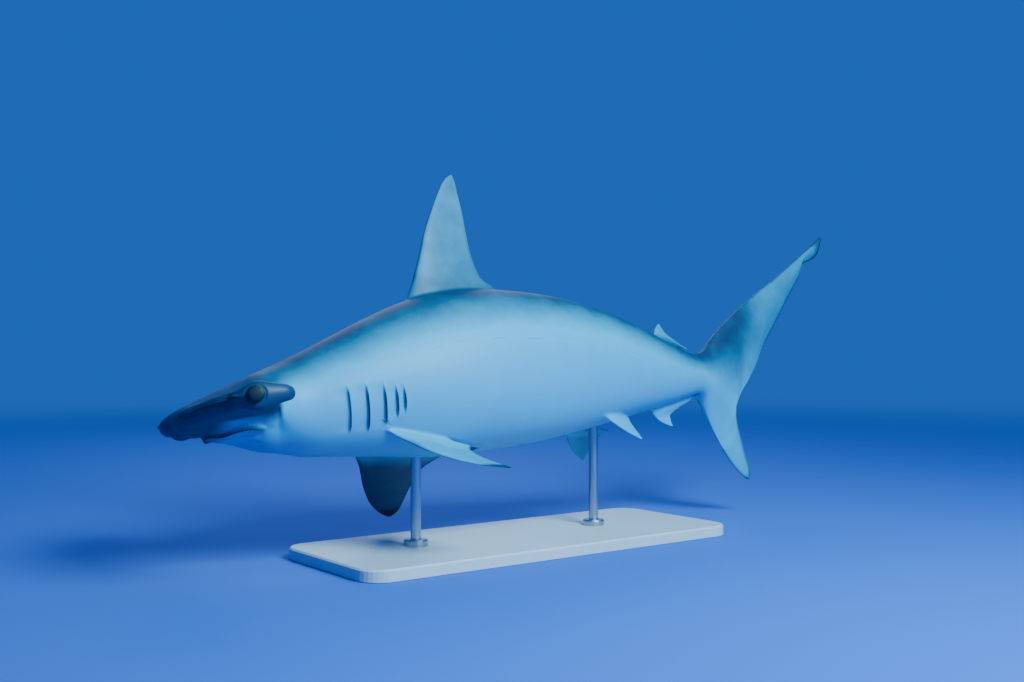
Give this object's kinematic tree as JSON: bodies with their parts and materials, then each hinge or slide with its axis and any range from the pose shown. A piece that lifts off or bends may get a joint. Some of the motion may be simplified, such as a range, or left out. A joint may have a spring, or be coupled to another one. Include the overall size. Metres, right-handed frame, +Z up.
{
  "type": "hammerhead shark",
  "caption": "Still life-size swimming hammerhead shark with a notched hammer, tall dorsal fin and long upper tail lobe, held on a flat display stand by short rods.",
  "frame": {"origin": "middle of the underside of the stand's base", "axes": "the shark heads towards -X with its left side towards -Y; +Z is up"},
  "size_m": [2.2951, 0.7038, 0.984],
  "materials": {
    "hide": "wet satin hide, dark above and pale below",
    "eye": "wet gloss",
    "base": "satin grey paint",
    "rod": "brushed"
  },
  "bodies": {
    "root": {"head": "hide", "neck": "hide", "trunk_front": "hide", "trunk_rear": "hide", "tail_stalk": "hide", "tail_upper_lobe": "hide", "tail_lower_lobe": "hide", "fin_dorsal_first": "hide", "fin_dorsal_second": "hide", "fin_anal": "hide", "fin_pectoral_right": "hide", "fin_pectoral_left": "hide", "fin_pelvic_right": "hide", "fin_pelvic_left": "hide", "eye_right": "eye", "eye_left": "eye", "stand_base": "base", "stand_rod_front": "rod", "stand_rod_rear": "rod", "stand_collar_front": "rod", "stand_collar_rear": "rod"}
  },
  "joints": []
}
